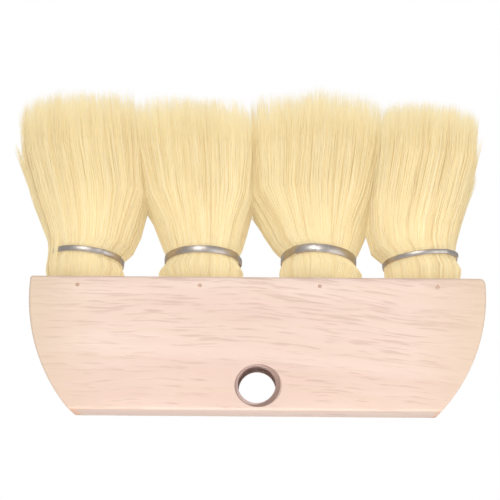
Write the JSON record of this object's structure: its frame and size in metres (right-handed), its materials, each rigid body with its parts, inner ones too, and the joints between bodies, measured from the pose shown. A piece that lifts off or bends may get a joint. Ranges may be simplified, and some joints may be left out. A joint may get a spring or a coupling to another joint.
{
  "type": "block brush",
  "caption": "Wooden block brush with round-ended body, bound knots of stiff plant fibre leaning back in a row, and a threaded hole for a screw-in handle.",
  "frame": {"origin": "centre of the block's flat bottom face", "axes": "+Z from the bottom face up to the fibre tips, +X along the block, -Y out of the face that the handle screws into; the knots lean towards +Y"},
  "size_m": [0.1985, 0.0717, 0.1386],
  "materials": {
    "block_wood": "planed, unfinished pale hardwood with fine dark flecks along the grain",
    "fibre": "dry natural plant fibre, cream to straw, slight sheen along the fibre",
    "band_steel": "bright tinned steel strap",
    "nail_steel": "dull plain wire nail",
    "cement": "hard brown setting resin"
  },
  "bodies": {
    "brush_block": {"block": "block_wood", "retaining_nails": "nail_steel", "knot_1_butt": "fibre", "knot_2_butt": "fibre", "knot_3_butt": "fibre", "knot_4_butt": "fibre", "band_1": "band_steel", "band_2": "band_steel", "band_3": "band_steel", "band_4": "band_steel", "setting_cement_1": "cement", "setting_cement_2": "cement", "setting_cement_3": "cement", "setting_cement_4": "cement"},
    "knot_1": {"knot_1_bristles": "fibre"},
    "knot_2": {"knot_2_bristles": "fibre"},
    "knot_3": {"knot_3_bristles": "fibre"},
    "knot_4": {"knot_4_bristles": "fibre"}
  },
  "joints": [
    {"name": "knot_1_flex", "type": "hinge", "parent": "brush_block", "child": "knot_1", "pos_m": [-0.0714, 0.00475, 0.07785], "axis": [1, 0, 0], "range_deg": [-25, 25], "stiffness_Nm_per_rad": 0.8},
    {"name": "knot_2_flex", "type": "hinge", "parent": "brush_block", "child": "knot_2", "pos_m": [-0.0237, 0.00517, 0.07791], "axis": [1, 0, 0], "range_deg": [-25, 25], "stiffness_Nm_per_rad": 0.8},
    {"name": "knot_3_flex", "type": "hinge", "parent": "brush_block", "child": "knot_3", "pos_m": [0.0263, 0.00672, 0.07748], "axis": [1, 0, 0], "range_deg": [-25, 25], "stiffness_Nm_per_rad": 0.8},
    {"name": "knot_4_flex", "type": "hinge", "parent": "brush_block", "child": "knot_4", "pos_m": [0.0672, 0.00357, 0.07805], "axis": [1, 0, 0], "range_deg": [-25, 25], "stiffness_Nm_per_rad": 0.8}
  ]
}
